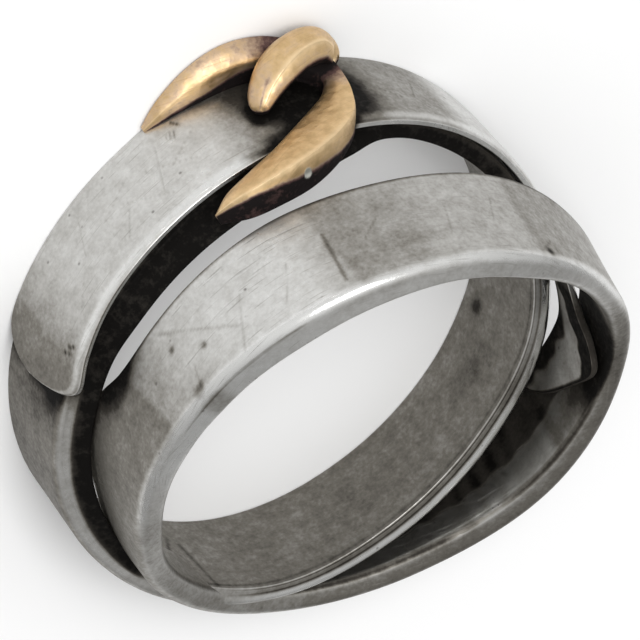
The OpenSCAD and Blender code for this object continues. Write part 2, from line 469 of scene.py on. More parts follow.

# %% Where the rear band is dark
# Columns: angle, tarnish with painted light and shade. The near face is black where the strap and
# the front band lean over it, painted shade over tarnish, and round the ring each face is lighter or
# darker as the light falls on it.
REAR_OUTSIDE = [[0, 0.5], [172, 0.55], [182, 0.56], [190, 0.52], [200, 0.61], [250, 0.58]]
REAR_NEAR = [
    [0, 0.12], [18, 0.3], [32, 0.9], [60, 1.0], [172, 1.1], [180, 0.5], [195, 0.42], [215, 0.38],
    [230, 0.38], [245, 0.36], [275, 0.36], [290, 0.48], [312, 0.44], [325, 0.4], [345, 0.42],
]
REAR_INSIDE = 0.5
# Across the near face where it is seen from inside: fine black lines at the inner edge, and beside
# them a band that the finger has polished, painted lighter still as a highlight. Columns: share of the
# wall, tarnish to add.
REAR_NEAR_LINES = np.array([
    [0.00, 0.0], [0.07, 0.0], [0.11, 0.4], [0.15, 0.05], [0.30, 0.12], [0.36, 0.5], [0.42, 0.1],
    [0.50, -0.25], [0.80, -0.45], [0.92, 0.1], [1.00, 0.55],
])
print("tarnish of the rear band's near edge:", REAR_NEAR[0][1], "at the right and",
      REAR_NEAR[4][1], "by the gap")

# %% Spots, marks and patches of the rear band
# Spots. Columns: angle, height, half length round the ring, half height, strength.
REAR_INSIDE_SPOTS = [
    [352, 0.85, 0.35, 0.28, 0.35], [339, 1.9, 1.0, 0.7, 0.12], [300, 2.0, 2.5, 1.2, 0.06],
]
# Painted shadow of the strap's end, on the outside beside it.
REAR_STRAP_SHADOW_SPOTS = [
    [177.5, 2.0, 0.35, 1.1, 0.7], [176.5, 3.4, 0.4, 0.6, 0.7], [175, 0.4, 0.5, 0.6, 0.7],
    [180, 3.2, 0.5, 0.5, 0.3], [184, 2.2, 1.4, 1.6, 0.1],
]
# Marks. Columns: angle and height at both ends, half width, depth.
REAR_INSIDE_MARKS = [[251.5, 1.2, 241.5, 4.4, 0.1, 0.6], [254, 1.5, 256, 3.8, 0.08, 0.7]]
# Patches. Columns: from, to, softness, strength. They are in degrees round the ring, except the
# inner line, in mm above the near edge, and the outer corner, in shares of the wall.
REAR_PATCHES = {
    "inside hidden": [18, 252, 12, 1],
    "lines hidden": [18, 264, 8, 1],
    "polish and highlight hidden": [18, 276, 10, 1],
    "black gap": [168, 236, 5, 1.1],
    "polish and highlight by the gap": [176, 236, 5, 0.6],
    "inner line": [-0.24, -0.17, 0.04, 0.3],
    "outer corner": [0.50, 0.95, 0.15, 1],
}
# In the gap the black, painted shade over tarnish, reaches this share of the wall, with this softness.
GAP_SHADE_SHARE = (0.58, 0.12)
# How much a scratched mark darkens.
MARK_TARNISH = 0.3
print("patches on the rear band:", ", ".join(REAR_PATCHES))


# %% Make the rear band
def rear_band():
    """Each face has its own tarnish and painted shade, weighted by how much a point is in that face,
    and the largest of the three counts. Polish with a painted highlight lies along the outer corner of
    the near face."""
    rows = even_stations(REAR_ROWS, HOOP_STATIONS, True)
    angle, r, z = strip_surface(rows, FINGER_R, REAR_T, REAR_ROUNDING)
    r = r + worn_in(angle, z, REAR_WANDER, seed=1)
    a = angle % 360
    wall_share = (r - column(rows, OUT_NEAR) - FINGER_R) / (REAR_T * column(rows, SHARE))

    # Painted shade in the gap under the front band, over tarnish.
    gap = patch(a, REAR_PATCHES["black gap"]) * (1 - step(wall_share, *GAP_SHADE_SHARE))
    near = np.maximum(round_ring(a, REAR_NEAR), gap)
    lines = np.interp(wall_share, *REAR_NEAR_LINES.T)
    near = near + (1 - patch(a, REAR_PATCHES["lines hidden"])) * lines
    outside = round_ring(a, REAR_OUTSIDE) + spots(a, z, r, REAR_STRAP_SHADOW_SPOTS)
    inside = REAR_INSIDE + spots(a, z, r, REAR_INSIDE_SPOTS)
    inside = inside + MARK_TARNISH * marks(a, z, r, REAR_INSIDE_MARKS)
    line = patch(z - column(rows, Z_NEAR), REAR_PATCHES["inner line"])
    inside = inside + line * (1 - patch(a, REAR_PATCHES["inside hidden"]))
    oxide = np.maximum(IN_FACE["near"] * near, IN_FACE["outside"] * outside)
    oxide = np.maximum(oxide, IN_FACE["inside"] * inside)

    brightened = 1 - patch(a, REAR_PATCHES["polish and highlight hidden"]) + patch(a, REAR_PATCHES["polish and highlight by the gap"])
    polish = patch(wall_share, REAR_PATCHES["outer corner"]) * IN_FACE["near"] * brightened
    painted = {"oxide": oxide, "polish": polish}
    return skin("rear_band", place(angle, r, z), True, painted)


rear = rear_band()

# %% [markdown]
# ## The front band
#
# The heavier hoop in front. It leans, and its foot runs from the inside of the rear band on the left
# to its outside on the right. A tilted circle would come near it, but the real one is neither flat nor
# round, so it has a table of its own. Its outside is painted lighter where the light falls on it and
# darker away from it, with the sharp edge of a painted reflection, over its tarnish.

# %% The front band's form
# Rounding of the corners in mm, in the same order as the rear band's.
FRONT_ROUNDING = np.array([0.08, 0.08, 0.42, 0.14])
# Away from the top, the near inside corner is rounder by this much, in mm.
FRONT_ROUNDER = np.array([0, 0, 0, 0.16])
FRONT_WANDER = 0.010
print("rounding of the near outside corner, mm:", FRONT_ROUNDING[2])

# %% Where the front band is dark
# The outer faces of the front band and the strap are this much duller than their rubbed edges.
OUTSIDE_DULL = 0.08
# Columns: angle, tarnish with painted light and shade: each face is lighter where the light falls on
# it and darker away from it, and the outside has the sharp edge of a painted reflection near 165
# degrees.
FRONT_OUTSIDE = [
    [0, 0.35], [30, 0.3], [45, 0.35], [63, 0.33], [65, 0.24], [85, 0.21], [96, 0.3], [110, 0.34],
    [112, 0.2], [120, 0.0], [138, 0.03], [150, 0.12], [158, 0.24], [164, 0.28], [166, 0.44],
    [205, 0.42], [215, 0.5],
]
FRONT_NEAR = [
    [0, 0.58], [12, 0.54], [22, 0.36], [32, 0.22], [60, 0.18], [90, 0.19], [120, 0.17],
    [135, 0.11], [150, 0.03], [172, -0.12], [185, 0.12], [205, 0.38], [240, 0.36], [285, 0.46],
    [310, 0.52], [330, 0.46],
]
FRONT_INSIDE = [[0, 0.52], [20, 0.5], [60, 0.5], [180, 0.5], [250, 0.5], [285, 0.3], [345, 0.26]]
# Up to where the inside is black at the foot: painted shade over tarnish, in the wedge between the
# hoops. Columns: angle, height.
BLACK_EDGE_HEIGHTS = [[0, 3.2], [280, 2.9], [300, 3.0], [315, 3.45], [333, 4.0], [345, 4.25]]
# How far that edge wanders, and how softly it ends, in mm.
BLACK_EDGE_WAVER = 0.2
BLACK_EDGE_SOFT = 0.1
print("brightest outside at", min(FRONT_OUTSIDE, key=lambda row: row[1])[0], "degrees")

# %% Spots and marks of the front band
# Spots. Columns: angle, height, half length round the ring, half height, strength. On the near face
# and for the glints the height doesn't matter, and it is 0 with a half height of 1.
# On the inside, the first three are painted shade over tarnish, in the crevice beside the strap's
# tongue.
FRONT_INSIDE_SPOTS = [
    [5, 6.4, 1.6, 0.9, 0.9], [356, 6.2, 1.6, 0.8, 0.8], [1, 5.2, 2.6, 1.0, 0.8],
    [345, 5.0, 0.5, 0.4, 0.3], [338, 4.6, 0.4, 0.7, 0.25],
]
# Outside, the first three are painted shade by the far edge, where the front band meets the rear one;
# the rest are small dark marks.
FRONT_OUTSIDE_SPOTS = [
    [165, 5.3, 1.0, 0.35, 0.8], [171, 4.7, 0.9, 0.4, 0.7], [177, 4.1, 1.2, 0.35, 0.5],
    [152.8, 9.0, 0.35, 0.2, 0.35], [154.5, 9.3, 0.2, 0.2, 0.3], [145.3, 8.1, 0.12, 0.12, 0.5],
    [151.7, 6.95, 0.12, 0.12, 0.5], [95, 9.6, 0.8, 0.4, 0.1], [60, 10.2, 0.15, 0.15, 0.6],
]
FRONT_NEAR_SPOTS = [[155.5, 0, 0.35, 1, 0.3], [152, 0, 0.3, 1, 0.25]]
FRONT_GLINTS = [[311, 0, 0.4, 1, 0.7], [318.5, 0, 0.7, 1, 1.3]]
# Marks. Columns: angle and height at both ends, half width, depth.
FRONT_MARKS = [
    [110.6, 8.0, 113.2, 10.3, 0.07, 0.9], [151.4, 6.05, 136.6, 8.8, 0.06, 0.5],
    [132.3, 7.9, 140.4, 10.0, 0.05, 0.4], [120.5, 8.2, 126, 9.6, 0.03, 0.4],
    [98, 8.2, 104, 9.0, 0.03, 0.35], [83, 8.4, 86, 9.9, 0.03, 0.3], [70, 8.0, 73, 9.2, 0.03, 0.35],
    [150, 8.2, 154, 9.6, 0.04, 0.35], [58, 9.6, 61.5, 10.1, 0.04, 0.5],
]
print("spots and marks outside:", len(FRONT_OUTSIDE_SPOTS), len(FRONT_MARKS))

# %% Patches of the front band
# Patches. Columns: from, to, softness, strength. They are in degrees round the ring, except those
# that end in mm, above the near edge, and in share, of the wall.
FRONT_PATCHES = {
    "top": [60, 140, 15, 1],
    "far edge dark": [20, 165, 8, 0.5],
    "far edge highlight": [168, 212, 4, 0.4],
    "near groove": [126, 167, 4, 0.45],
    "near groove share": [0.64, 0.70, 0.04, 1],
    "near shaded middle": [8, 110, 12, 0.14],
    "near shaded middle share": [0.3, 0.62, 0.15, 1],
    "near darker outwards": [280, 355, 8, 0.3],
    "inside streaks": [280, 350, 8, 0.15],
    "inside black": [262, 352, 4, 0.62],
    "inner line": [270, 350, 8, 1],
    "inner line mm": [-0.2, -0.13, 0.04, 0.3],
    "corner black": [262, 352, 6, 0.8],
    "edge polish and highlight": [20, 200, 10, 1],
}
# How far from the far edge its dark line and its painted highlight line reach in mm, and how softly
# they end.
FAR_DARK_MM = (0.10, 0.08)
FAR_HIGHLIGHT_MM = (0.07, 0.04)
# The near face is darker outwards from this share of the wall.
NEAR_MIDDLE_SHARE = 0.4
print("patches on the front band:", ", ".join(FRONT_PATCHES))


# %% The three faces of the front band
def front_outside(a, z, r, from_far):
    """The far edge has a dark line where the bands part, and a painted highlight line by the gap."""
    outside = OUTSIDE_DULL + round_ring(a, FRONT_OUTSIDE) + spots(a, z, r, FRONT_OUTSIDE_SPOTS)
    outside = outside + patch(a, FRONT_PATCHES["far edge dark"]) * (1 - step(from_far, *FAR_DARK_MM))
    brightened = patch(a, FRONT_PATCHES["far edge highlight"]) * (1 - step(from_far, *FAR_HIGHLIGHT_MM))
    return outside - brightened


def front_near(a, z, r, wall_share):
    """The broad edge that faces the camera: a groove at the top left, painted shade on its middle, and
    darker outwards from 280 to 355 degrees.
    """
    groove = patch(wall_share, FRONT_PATCHES["near groove share"])
    shaded_middle = patch(wall_share, FRONT_PATCHES["near shaded middle share"])
    near = round_ring(a, FRONT_NEAR) + patch(a, FRONT_PATCHES["near groove"]) * groove
    near = near + spots(a, 0 * z, r, FRONT_NEAR_SPOTS) + patch(a, FRONT_PATCHES["near shaded middle"]) * shaded_middle
    outwards = wall_share - NEAR_MIDDLE_SHARE
    return near + patch(a, FRONT_PATCHES["near darker outwards"]) * outwards


def front_inside(angle, z, r, above_near):
    """The inside is streaked, and black in the wedge between the two hoops at the foot: painted shade
    over tarnish.
    """
    a = angle % 360
    inside = round_ring(a, FRONT_INSIDE) + spots(a, z, r, FRONT_INSIDE_SPOTS)
    inside = inside + patch(a, FRONT_PATCHES["inside streaks"]) * waver(angle * 7, z * 2, seed=6)
    black_top = round_ring(a, BLACK_EDGE_HEIGHTS) + BLACK_EDGE_WAVER * waver(angle * 4, z * 2, seed=5)
    black = 1 - step(z, black_top, BLACK_EDGE_SOFT)
    inside = inside + patch(a, FRONT_PATCHES["inside black"]) * black
    line = patch(above_near, FRONT_PATCHES["inner line mm"])
    return inside + patch(a, FRONT_PATCHES["inner line"]) * line


# %% Make the front band
def front_band():
    """As the rear band, with a black near inside corner at the foot, a rubbed outer corner with a
    painted highlight, and painted glints on the inner corner.
    """
    rows = even_stations(FRONT_ROWS, HOOP_STATIONS, True)
    away_from_top = 1 - patch(column(rows, ANGLE) % 360, FRONT_PATCHES["top"])
    rounding = FRONT_ROUNDING + away_from_top * FRONT_ROUNDER
    angle, r, z = strip_surface(rows, FINGER_R, FRONT_T, rounding)
    r = r + worn_in(angle, z, FRONT_WANDER, seed=2)
    a = angle % 360
    wall_share = (r - column(rows, OUT_FAR) - FINGER_R) / (FRONT_T * column(rows, SHARE))

    edge = AT_CORNER * IN_FACE["near"]
    outside = IN_FACE["outside"] * front_outside(a, z, r, z - column(rows, Z_FAR))
    near = IN_FACE["near"] * front_near(a, z, r, wall_share)
    inside = IN_FACE["inside"] * front_inside(angle, z, r, z - column(rows, Z_NEAR))
    corner = patch(a, FRONT_PATCHES["corner black"]) * edge * IN_FACE["inside"]
    oxide = np.maximum(np.maximum(outside, near), np.maximum(inside, corner))

    polish = edge * IN_FACE["outside"] * patch(a, FRONT_PATCHES["edge polish and highlight"])
    # Painted glints, as highlights on the near inside corner.
    polish = polish + spots(a, 0 * z, r, FRONT_GLINTS) * edge * IN_FACE["inside"]
    scar = marks(a, z, r, FRONT_MARKS) * IN_FACE["outside"]
    painted = {"oxide": oxide + MARK_TARNISH * scar, "polish": polish, "scar": scar}
    return skin("front_band", place(angle, r, z), True, painted)


front = front_band()

# %% [markdown]
# ## The gold crescent and the loop
#
# Both are carved, so their sections change all the way along. The crescent has a broad top and a
# ridge near its outer edge, past which a narrow bevel falls away. The loop is a fat drop, bent over
# the strap like a claw. They could be sculpted by hand, but an outline that grows and shrinks along a
# path keeps the ridge unbroken, and the sizes stay readable.

# %% The tables of the gold
# Columns: angle, height, stand-off of the foot and of the ridge from the strap, width.
CRESCENT_ROWS = np.array([
    [124.6, 0.16, 0.10, 0.32, 0.12],
    [119.5, 0.25, 0.20, 0.90, 0.40],
    [112, 0.34, 0.25, 1.50, 0.60],
    [105, 0.38, 0.25, 1.72, 0.68],
    [98, 0.48, 0.20, 1.52, 0.80],
    [92.5, 0.85, 0.10, 1.18, 0.90],
    [89.2, 1.45, 0.05, 0.98, 0.80],
    [88.5, 2.10, 0.03, 0.82, 0.72],
    [90.2, 2.90, -0.05, 0.78, 1.10],
    [94, 3.75, -0.25, 0.78, 1.70],
    [99.8, 4.42, -0.50, 0.72, 1.95],
    [106.5, 4.87, -0.70, 0.66, 1.85],
    [114, 5.10, -0.70, 0.58, 1.50],
    [120.5, 5.12, -0.65, 0.42, 1.00],
    [125.3, 5.22, -0.40, 0.15, 0.15],
])
# Columns: angle, height, stand-off of the centre, half width, half thickness.
LOOP_ROWS = np.array([
    [105.4, 2.42, 0.42, 0.12, 0.10],
    [104.9, 2.33, 0.50, 0.36, 0.30],
    [103, 2.02, 0.80, 0.58, 0.48],
    [99, 1.60, 1.18, 0.76, 0.60],
    [94.3, 1.24, 1.36, 0.78, 0.64],
    [89.7, 1.02, 1.32, 0.76, 0.62],
    [86.6, 1.10, 1.02, 0.60, 0.50],
    [85.6, 1.28, 0.66, 0.28, 0.22],
])
print("the crescent spans", np.ptp(CRESCENT_ROWS[:, 0]), "degrees and the loop",
      round(np.ptp(LOOP_ROWS[:, 0]), 1))


# %% A carved limb
def across(angle, height, stand_off):
    """Unit vector across a limb: the cross product of its direction and the radius."""
    path = place(angle, GOLD_R + stand_off, height)
    ahead = np.gradient(path, axis=0)
    out = place(angle, np.ones_like(angle), 0 * angle)
    side = np.cross(ahead, out)
    return side / np.linalg.norm(side, axis=1, keepdims=True), out


def limb_outline(corners, count):
    """The closed smooth curve through an outline's corners, read at even steps."""
    numbered = np.concatenate([np.zeros((len(corners), 1)), corners], 1)
    return through(numbered, np.linspace(0, len(corners), count + 1)[:-1], True)[:, 1:]


def limb(base, side, out, half, rise, outline):
    """Each section is the outline, drawn across by half the width and out by the rise:
    base + x * half * side + y * rise * out."""
    x = outline[None, :, :1] * half[:, None, None]
    y = outline[None, :, 1:] * rise[:, None, None]
    return base[:, None] + x * side[:, None] + y * out[:, None]


def line_of(x, middle, half_width):
    """A soft line: exp(-((x - middle) / half width)^2), so 1 in its middle."""
    return np.exp(-(((x - middle) / half_width) ** 2))


print("a line at its half width:", round(float(line_of(1.0, 0.0, 1.0)), 3))

# %% The crescent's section
# Its outline, from the foot round the inner flank, over the sloping top to the ridge, and down the
# outer flank.
# Columns: how far across as a share of the half width, and how high as a share of the rise.
CRESCENT_OUTLINE = np.array([
    [-0.84, 0.01], [0.80, 0.01], [0.96, 0.20], [0.95, 0.46], [0.80, 0.66], [0.10, 0.86],
    [-0.74, 0.98], [-0.89, 0.95], [-0.97, 0.66], [-0.97, 0.25],
])
# Places along the limb and points round it.
CRESCENT_GRID = (420, 120)
print("points on the crescent:", CRESCENT_GRID[0] * CRESCENT_GRID[1])

# %% Where the crescent is dark
# How far up the near limb's outer flank is black: painted shade under the limb, over tarnish.
# Columns: angle, share of the rise.
BLACK_FLANK = [[88, 0.05], [94, 0.2], [98, 0.35], [103, 0.5], [110, 0.64], [116, 0.78], [125, 0.86]]
# The same for the far limb's inner flank: painted shade in its crevice, over tarnish.
BLACK_CREVICE = [[90, 0.5], [104, 0.42], [110, 0.24], [120, 0.12]]
# How softly the two end.
FLANK_SOFT = 0.12
CREVICE_SOFT = 0.08
FAR_LIMB_TARNISH = 0.22
# The foot, where the gold meets the strap, is dark: painted shade over tarnish.
FOOT_SHADE_AND_TARNISH = 0.9
# Purple-brown tarnish beside the loop and in a few worn hollows. The strongest, at 90.5 degrees, is
# black at the junction with the loop: painted shade over tarnish.
# Columns: angle, height, half length, half height, strength.
GOLD_SPOTS = [
    [96.5, 0.45, 0.7, 0.5, 0.42], [93, 0.8, 0.5, 0.5, 0.35],
    [90.5, 1.4, 1.0, 0.6, 1.1], [92, 2.2, 0.5, 0.5, 0.5], [95.5, 2.9, 0.35, 0.5, 0.3],
]
# The fleck of grey solder at the top of the black flank, in the same columns.
SOLDER_SPOT = [[106.8, 4.85, 0.13, 0.5, 1.2]]
# Millimetres of height that the whole rise counts for, how ragged the fleck is, and where it ends.
SOLDER_RISE = 3
SOLDER_WAVER = 0.35
SOLDER_EDGE = (0.5, 0.12)
print("spots on the crescent:", len(GOLD_SPOTS))

# %% Edges and rubbed lines of the crescent
# Where each edge in the painting is, and its softness.
CRESCENT_EDGES = {
    # Across the limb, in half widths.
    "outer flank": (-0.8, 0.1),
    "inner flank": (0.6, 0.1),
    # Up the limb, as a share of its rise.
    "foot": (0.2, 0.1),
    "underside of the tip": (0.8, 0.1),
    "ridge": (0.85, 0.08),
    "rim": (0.5, 0.05),
    # Round the ring, in degrees.
    "near tip": (124.6, 0.5),
    "polish": (96, 3),
    # Up the ring, in mm.
    "near limb": (2.3, 0.4),
    "ridge polish and highlight": (3.3, 0.5),
}
# The middle and the half width of the rubbed lines, which are painted lighter as highlights, in half
# widths of the limb.
RIDGE_LINE = (-0.8, 0.12)
RIM_LINE = (0.85, 0.1)
FAR_RIM_POLISH_AND_HIGHLIGHT = 0.7


def past(x, edge_name):
    """0 before the named edge of the crescent, and 1 past it."""
    return step(x, *CRESCENT_EDGES[edge_name])


print("on the near limb at a height of 3 mm:", past(3.0, "near limb"))


# %% Make the crescent
def crescent_shade_and_tarnish(x, y, along, tall, black_to):
    """The flanks, the foot and the underside of the near tip are black, painted shade over tarnish,
    and the far limb is tan.
    """
    near_limb = past(tall, "near limb")
    oxide = near_limb * (1 - past(x, "outer flank")) * (1 - step(y, black_to, FLANK_SOFT))
    crevice_to = np.interp(along, *np.transpose(BLACK_CREVICE))
    crevice = past(x, "inner flank") * (1 - step(y, crevice_to, CREVICE_SOFT))
    oxide = np.maximum(oxide + FAR_LIMB_TARNISH * (1 - near_limb), (1 - near_limb) * crevice)
    under_tip = near_limb * past(along, "near tip") * (1 - past(y, "underside of the tip"))
    oxide = np.maximum(oxide, under_tip)
    oxide = np.maximum(oxide, FOOT_SHADE_AND_TARNISH * (1 - past(y, "foot")))
    return oxide + spots(along, tall, GOLD_R, GOLD_SPOTS)


def crescent_polish_and_highlight(x, y, along, tall):
    """The ridge of the near limb and the inner rim of the far limb are rubbed bright, with a painted
    highlight.
    """
    ridge = line_of(x, *RIDGE_LINE) * past(y, "ridge") * past(tall, "ridge polish and highlight")
    rim = line_of(x, *RIM_LINE) * past(y, "rim") * (1 - past(tall, "near limb"))
    return (ridge + FAR_RIM_POLISH_AND_HIGHLIGHT * rim) * past(along, "polish")


def solder_fleck(x, y, along, tall, black_to):
    """A spot on the upper edge of the near limb's black flank, with a ragged outline."""
    fleck = spots(along, tall + SOLDER_RISE * (y - black_to), GOLD_R, SOLDER_SPOT)
    fleck = step(fleck + SOLDER_WAVER * waver(along * 9, 6 * y + tall, seed=11), *SOLDER_EDGE)
    return fleck * past(tall, "near limb") * (1 - past(x, "outer flank"))


def crescent_form():
    """The outline is carried along the limb, sized by the width and the rise of each row."""
    u = np.linspace(0, len(CRESCENT_ROWS) - 1, CRESCENT_GRID[0])
    angle, height, foot, ridge, width = through(CRESCENT_ROWS, u, False).T
    side, out = across(angle, height, ridge)
    outline = limb_outline(CRESCENT_OUTLINE, CRESCENT_GRID[1])
    base = place(angle, GOLD_R + foot, height)
    grid = limb(base, side, out, width / 2, ridge - foot, outline)

    x, y = outline[None, :, 0], outline[None, :, 1]
    along = angle[:, None] + 0 * x
    tall = height[:, None] + 0 * x
    black_to = np.interp(along, *np.transpose(BLACK_FLANK))
    painted = {
        "oxide": crescent_shade_and_tarnish(x, y, along, tall, black_to),
        "polish": crescent_polish_and_highlight(x, y, along, tall),
        "scar": solder_fleck(x, y, along, tall, black_to),
    }
    return skin("crescent_form", grid, False, painted), (place(angle, GOLD_R, height), width / 2)


crescent, crescent_limb = crescent_form()

# %% The loop's section and finish
# Columns: across and up, as shares of the half width and the half thickness. The ridge lies near the
# side that faces the crescent's near limb.
LOOP_OUTLINE = np.array([
    [-0.97, -0.10], [-0.70, -0.70], [0.00, -0.97], [0.68, -0.72], [0.96, -0.15],
    [0.88, 0.30], [0.69, 0.64], [0.54, 0.78], [-0.20, 0.93], [-0.76, 0.58],
])
LOOP_GRID = (300, 100)
LOOP_TARNISH = 0.08
# The underside is nearly black, painted shade over tarnish, up to this height, as a share of the half
# thickness, and softness.
LOOP_UNDERSIDE_SHADE_AND_TARNISH = 0.95
LOOP_UNDERSIDE = (-0.1, 0.25)
# The tip is a little darker from this angle on, with this softness.
LOOP_TIP_TARNISH = 0.1
LOOP_TIP = (101, 2)
# The brown crease at the tip. Columns: from and to in degrees, softness, strength.
LOOP_CREASE = [102.4, 110, 0.6, 0.3]
# The middle and half width across, and the height and softness up, of the crease and of the ridge.
CREASE_LINE, CREASE_UP = (0.25, 0.09), (0, 0.1)
LOOP_RIDGE_LINE, LOOP_RIDGE_UP = (0.6, 0.12), (0.4, 0.1)
print("points on the loop:", LOOP_GRID[0] * LOOP_GRID[1])


# %% Make the loop
def loop_form():
    """The outline is carried along the loop's bent middle line."""
    u = np.linspace(0, len(LOOP_ROWS) - 1, LOOP_GRID[0])
    angle, height, stand_off, half_width, half_thick = through(LOOP_ROWS, u, False).T
    side, out = across(angle, height, stand_off)
    outline = limb_outline(LOOP_OUTLINE, LOOP_GRID[1])
    centre = place(angle, GOLD_R + stand_off, height)
    grid = limb(centre, side, out, half_width, half_thick, outline)

    x, y = outline[None, :, 0], outline[None, :, 1]
    along = angle[:, None] + 0 * x
    crease = line_of(x, *CREASE_LINE) * step(y, *CREASE_UP) * patch(along, LOOP_CREASE)
    oxide = (1 - step(y, *LOOP_UNDERSIDE)) * LOOP_UNDERSIDE_SHADE_AND_TARNISH
    oxide = oxide + LOOP_TARNISH + crease + LOOP_TIP_TARNISH * step(along, *LOOP_TIP)
    # A rubbed line along the ridge, painted lighter as a highlight.
    polish = line_of(x, *LOOP_RIDGE_LINE) * step(y, *LOOP_RIDGE_UP)
    painted = {"oxide": oxide, "polish": polish}
    return skin("loop_form", grid, False, painted), (centre, half_width)


loop, loop_limb = loop_form()
# The first places of the crescent are on its far limb, which casts no shade on the strap.
FAR_LIMB_PLACES = 150
gold_limbs = [[values[FAR_LIMB_PLACES:] for values in crescent_limb], loop_limb]

# %% [markdown]
# ## The strap
#
# Thinner strip, laid over the rear band. It is rounded at its left end, and on the right it turns
# forward and passes under the front band, where it ends in a tongue. It could be pushed on to the band
# with a Shrinkwrap modifier, but its own table keeps the small gap that stands for solder. Within a
# quarter of a millimetre of the gold it is painted black: shade in the crevices, over tarnish.

# %% The strap's form
STRAP_STATIONS = 760
# Rounding of the corners and wander of the faces in mm, as on the bands.
STRAP_ROUNDING = np.array([0.04, 0.09, 0.30, 0.04])
STRAP_WANDER = 0.004
# The near edge of the outside is worn down by this much, over this distance.
SHOULDER_DEPTH = 0.12
SHOULDER_WIDTH = 0.42
print("the strap covers", np.ptp(STRAP_ROWS[:, ANGLE]), "degrees")

# %% Where the strap is dark
# Columns: angle, tarnish with painted light and shade: lighter where the light falls on the strap and
# darker away from it.
STRAP_OUTSIDE = [
    [0, 0.4], [38, 0.25], [46, 0.0], [56, 0.02], [62, 0.32], [75, 0.34], [90, 0.38], [100, 0.42],
    [107, 0.36], [112, 0.22], [115, 0.1], [122, 0.03], [140, 0.06], [155, 0.11], [162, 0.2],
    [168, 0.4], [176, 0.48],
]
STRAP_NEAR = 0.05
STRAP_INSIDE = 0.6
CORNER_TARNISH = 0.12
STRAP_MARK_TARNISH = 0.35
# The painted shade round the gold on each face, over tarnish: how far it spreads in mm, and its
# strength.
GOLD_SHADE = {"outside": (0.2, 0.9), "near": (0.14, 0.8)}
print("brightest outside at", min(STRAP_OUTSIDE, key=lambda row: row[1])[0], "degrees")

# %% Spots and marks of the strap
# Spots. Columns: angle, height, half length round the ring, half height, strength.
# The first twelve lie round the gold: painted shade in its crevices, over tarnish. The last four are
# pits.
STRAP_SPOTS = [
    [101, -0.05, 1.3, 0.36, 1.2], [113, -0.05, 1.6, 0.1, 0.9], [121, -0.05, 0.8, 0.07, 0.7],
    [104.2, 2.2, 0.4, 0.6, 0.5], [98, 3.0, 0.7, 0.8, 0.9], [97, 1.2, 1.2, 0.8, 0.9],
    [90, 2.0, 1.2, 1.2, 0.9], [106, 3.6, 0.5, 0.3, 0.4], [111, 3.75, 0.6, 0.12, 0.5],
    [107.5, 1.2, 0.6, 0.8, 0.25], [114, 0.7, 1.3, 0.25, 0.25], [84, 2.4, 0.7, 1.8, 0.5],
    [165, 3.75, 0.08, 0.08, 0.6], [164.3, 3.95, 0.07, 0.07, 0.6], [166, 3.9, 0.08, 0.06, 0.5],
    [166.6, 3.6, 0.07, 0.07, 0.5],
]
# Marks. Columns: angle and height at both ends, half width, depth.
STRAP_MARKS = [
    [118.7, 0.9, 119.8, 0.62, 0.05, 1.0], [120.2, 1.0, 121, 1.25, 0.04, 0.8],
    [121, 0.95, 121.8, 1.2, 0.04, 0.7], [121.8, 0.95, 122.4, 1.1, 0.03, 0.6],
    [117, 1.4, 126, 2.2, 0.025, 0.35], [120, 2.6, 131, 1.6, 0.025, 0.35],
    [125, 1.0, 130, 2.9, 0.025, 0.4], [128, 3.2, 138, 2.0, 0.025, 0.3],
    [133, 1.2, 143, 1.9, 0.025, 0.3], [137, 2.4, 141, 3.3, 0.03, 0.35],
    [146, 0.9, 150, 2.2, 0.025, 0.3], [152, 2.6, 158, 3.4, 0.025, 0.3],
    [50, 1.9, 57, 2.6, 0.025, 0.3], [66, 1.2, 69, 2.2, 0.03, 0.35],
    [72, 2.4, 78, 1.9, 0.025, 0.35],
]
print("spots and marks on the strap:", len(STRAP_SPOTS), len(STRAP_MARKS))

# %% Patches of the strap
# Patches. Columns: from, to, softness, strength. They are in degrees round the ring, except the
# bright line, in mm from the near edge, and the groove's share of the wall.
STRAP_PATCHES = {
    "tongue": [-25, 10, 4, 1],
    "tongue rim": [-18.6, -17, 0.6, 0.15],
    "tongue far shade": [1, 20, 3, 0.85],
    "tongue near shade": [-5, 20, 3, 0.7],
    "near groove": [146, 172, 4, 0.6],
    "near groove share": [0.35, 0.55, 0.12, 1],
    "bright line": [0.06, 0.34, 0.1, 0.22],
}
# The tongue's near edge, and how much brighter the middle of its inside is than its edges.
TONGUE_NEAR = 0.75
TONGUE_BRIGHT = 0.28
# The black along the tongue's edges, in mm: the width at the far edge and how far it wanders, the
# least width at the near edge and the share by which it wanders, and how softly the two end.
FAR_BLACK, FAR_BLACK_WAVER, FAR_BLACK_SOFT = 0.6, 0.3, 0.2
NEAR_BLACK, NEAR_BLACK_WAVER, NEAR_BLACK_SOFT = 0.12, 0.4, 0.12
TONGUE_WAVER = 0.1
print("patches on the strap:", ", ".join(STRAP_PATCHES))

# %% What lies on the strap
# The gap at which a point counts as far from the gold in mm, and which places of a limb are tried.
FAR_AWAY = 9.0
EVERY = 6


def near_gold(points, limbs, spread, strength):
    """For each point, how close it is to a gold limb: the least distance to the limb's middle line
    less half its width there, as strength * exp(-(gap / spread)^2)."""
    flat = points.reshape(-1, 3)
    gap = np.full(len(flat), FAR_AWAY)
    for middle, half in limbs:
        for centre, reach in zip(middle[::EVERY], half[::EVERY]):
            gap = np.minimum(gap, np.linalg.norm(flat - centre, axis=1) - reach)
    return strength * np.exp(-((np.maximum(gap, 0) / spread) ** 2)).reshape(points.shape[:2])


